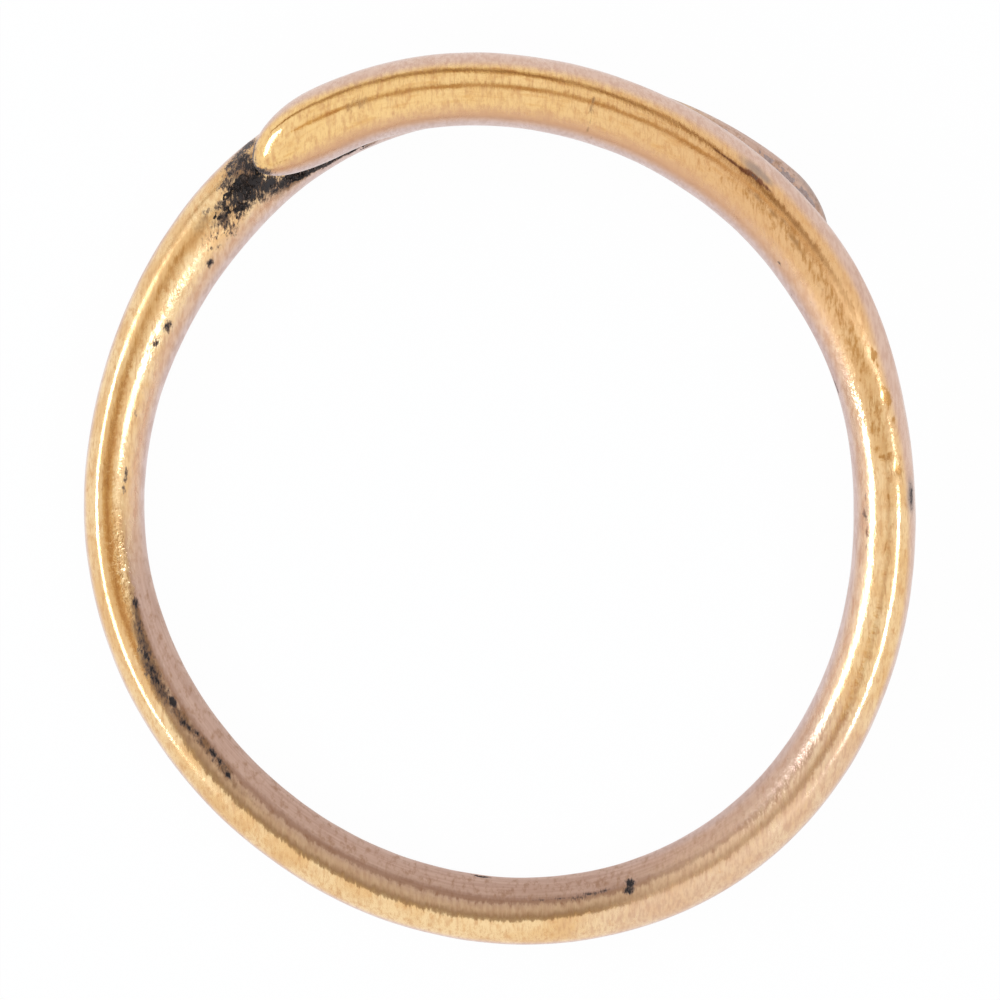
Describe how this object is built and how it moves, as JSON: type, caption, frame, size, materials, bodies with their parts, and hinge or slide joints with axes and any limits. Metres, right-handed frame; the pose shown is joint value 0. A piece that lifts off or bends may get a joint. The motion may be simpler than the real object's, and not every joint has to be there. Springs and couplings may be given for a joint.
{
  "type": "coil ring",
  "caption": "Finger ring of round copper-alloy wire, coiled so that its blunt tip and tapered tail pass each other, with dark burial crust in the nips.",
  "frame": {"origin": "middle of the ring's footprint, on the surface that it lies on", "axes": "+Z along the finger hole, from the flat-lying lower lap up to the upper lap; +X to the right and +Y to the top of the reference view"},
  "size_m": [0.0208, 0.0222, 0.0039],
  "materials": {
    "polished_bronze": "hand polished tin bronze, finely scratched, with dark pits",
    "burial_crust": "rough dark earthy mineral crust"
  },
  "bodies": {
    "root": {"coil_wire": "polished_bronze", "tip_crust": "burial_crust", "tail_crust": "burial_crust"}
  },
  "joints": []
}
